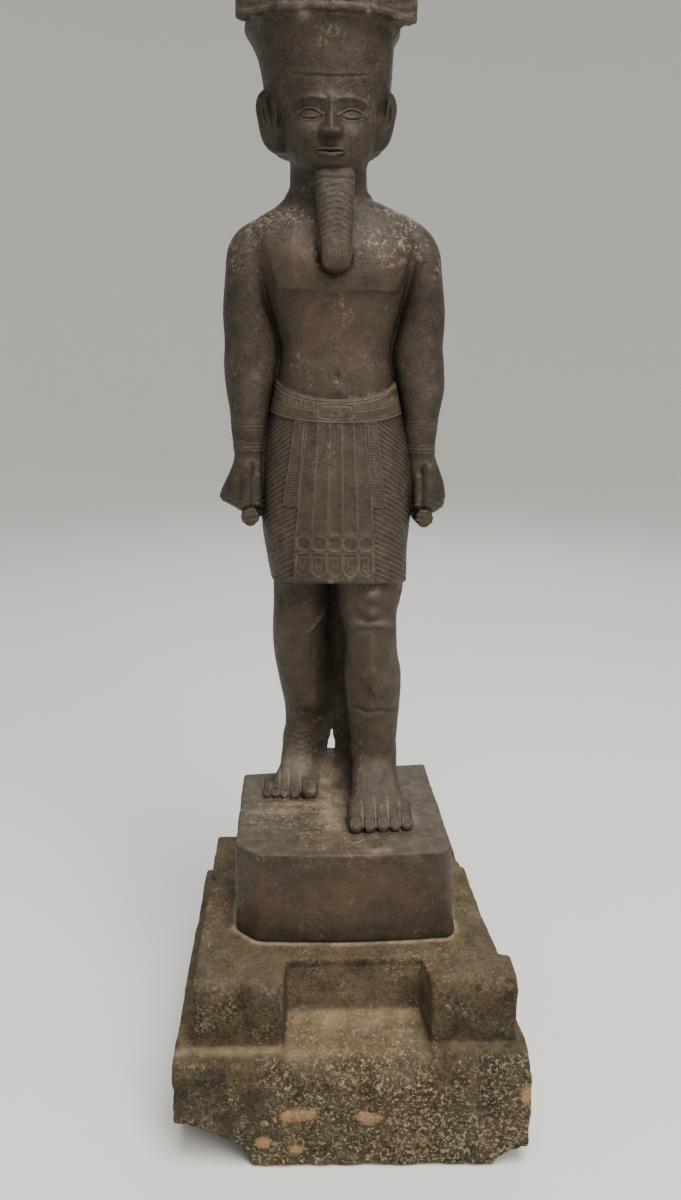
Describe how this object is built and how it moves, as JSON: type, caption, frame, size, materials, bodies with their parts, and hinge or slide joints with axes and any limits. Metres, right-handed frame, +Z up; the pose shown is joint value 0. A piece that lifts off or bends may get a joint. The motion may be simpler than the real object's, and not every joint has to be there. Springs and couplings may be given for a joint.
{
  "type": "striding figure statue",
  "caption": "Dark stone statue of a striding kilted god in a flat crown with tall double plumes, on its own footing block and a stepped stone base.",
  "frame": {"origin": "centre of the base's underside, on the floor", "axes": "+Z up; the figure faces -Y; +X is the viewer's right, the figure's own left"},
  "size_m": [0.222, 0.238, 0.832],
  "materials": {
    "statue": "satin",
    "base": "matte"
  },
  "bodies": {
    "root": {"statue": "statue", "base": "base"}
  },
  "joints": []
}
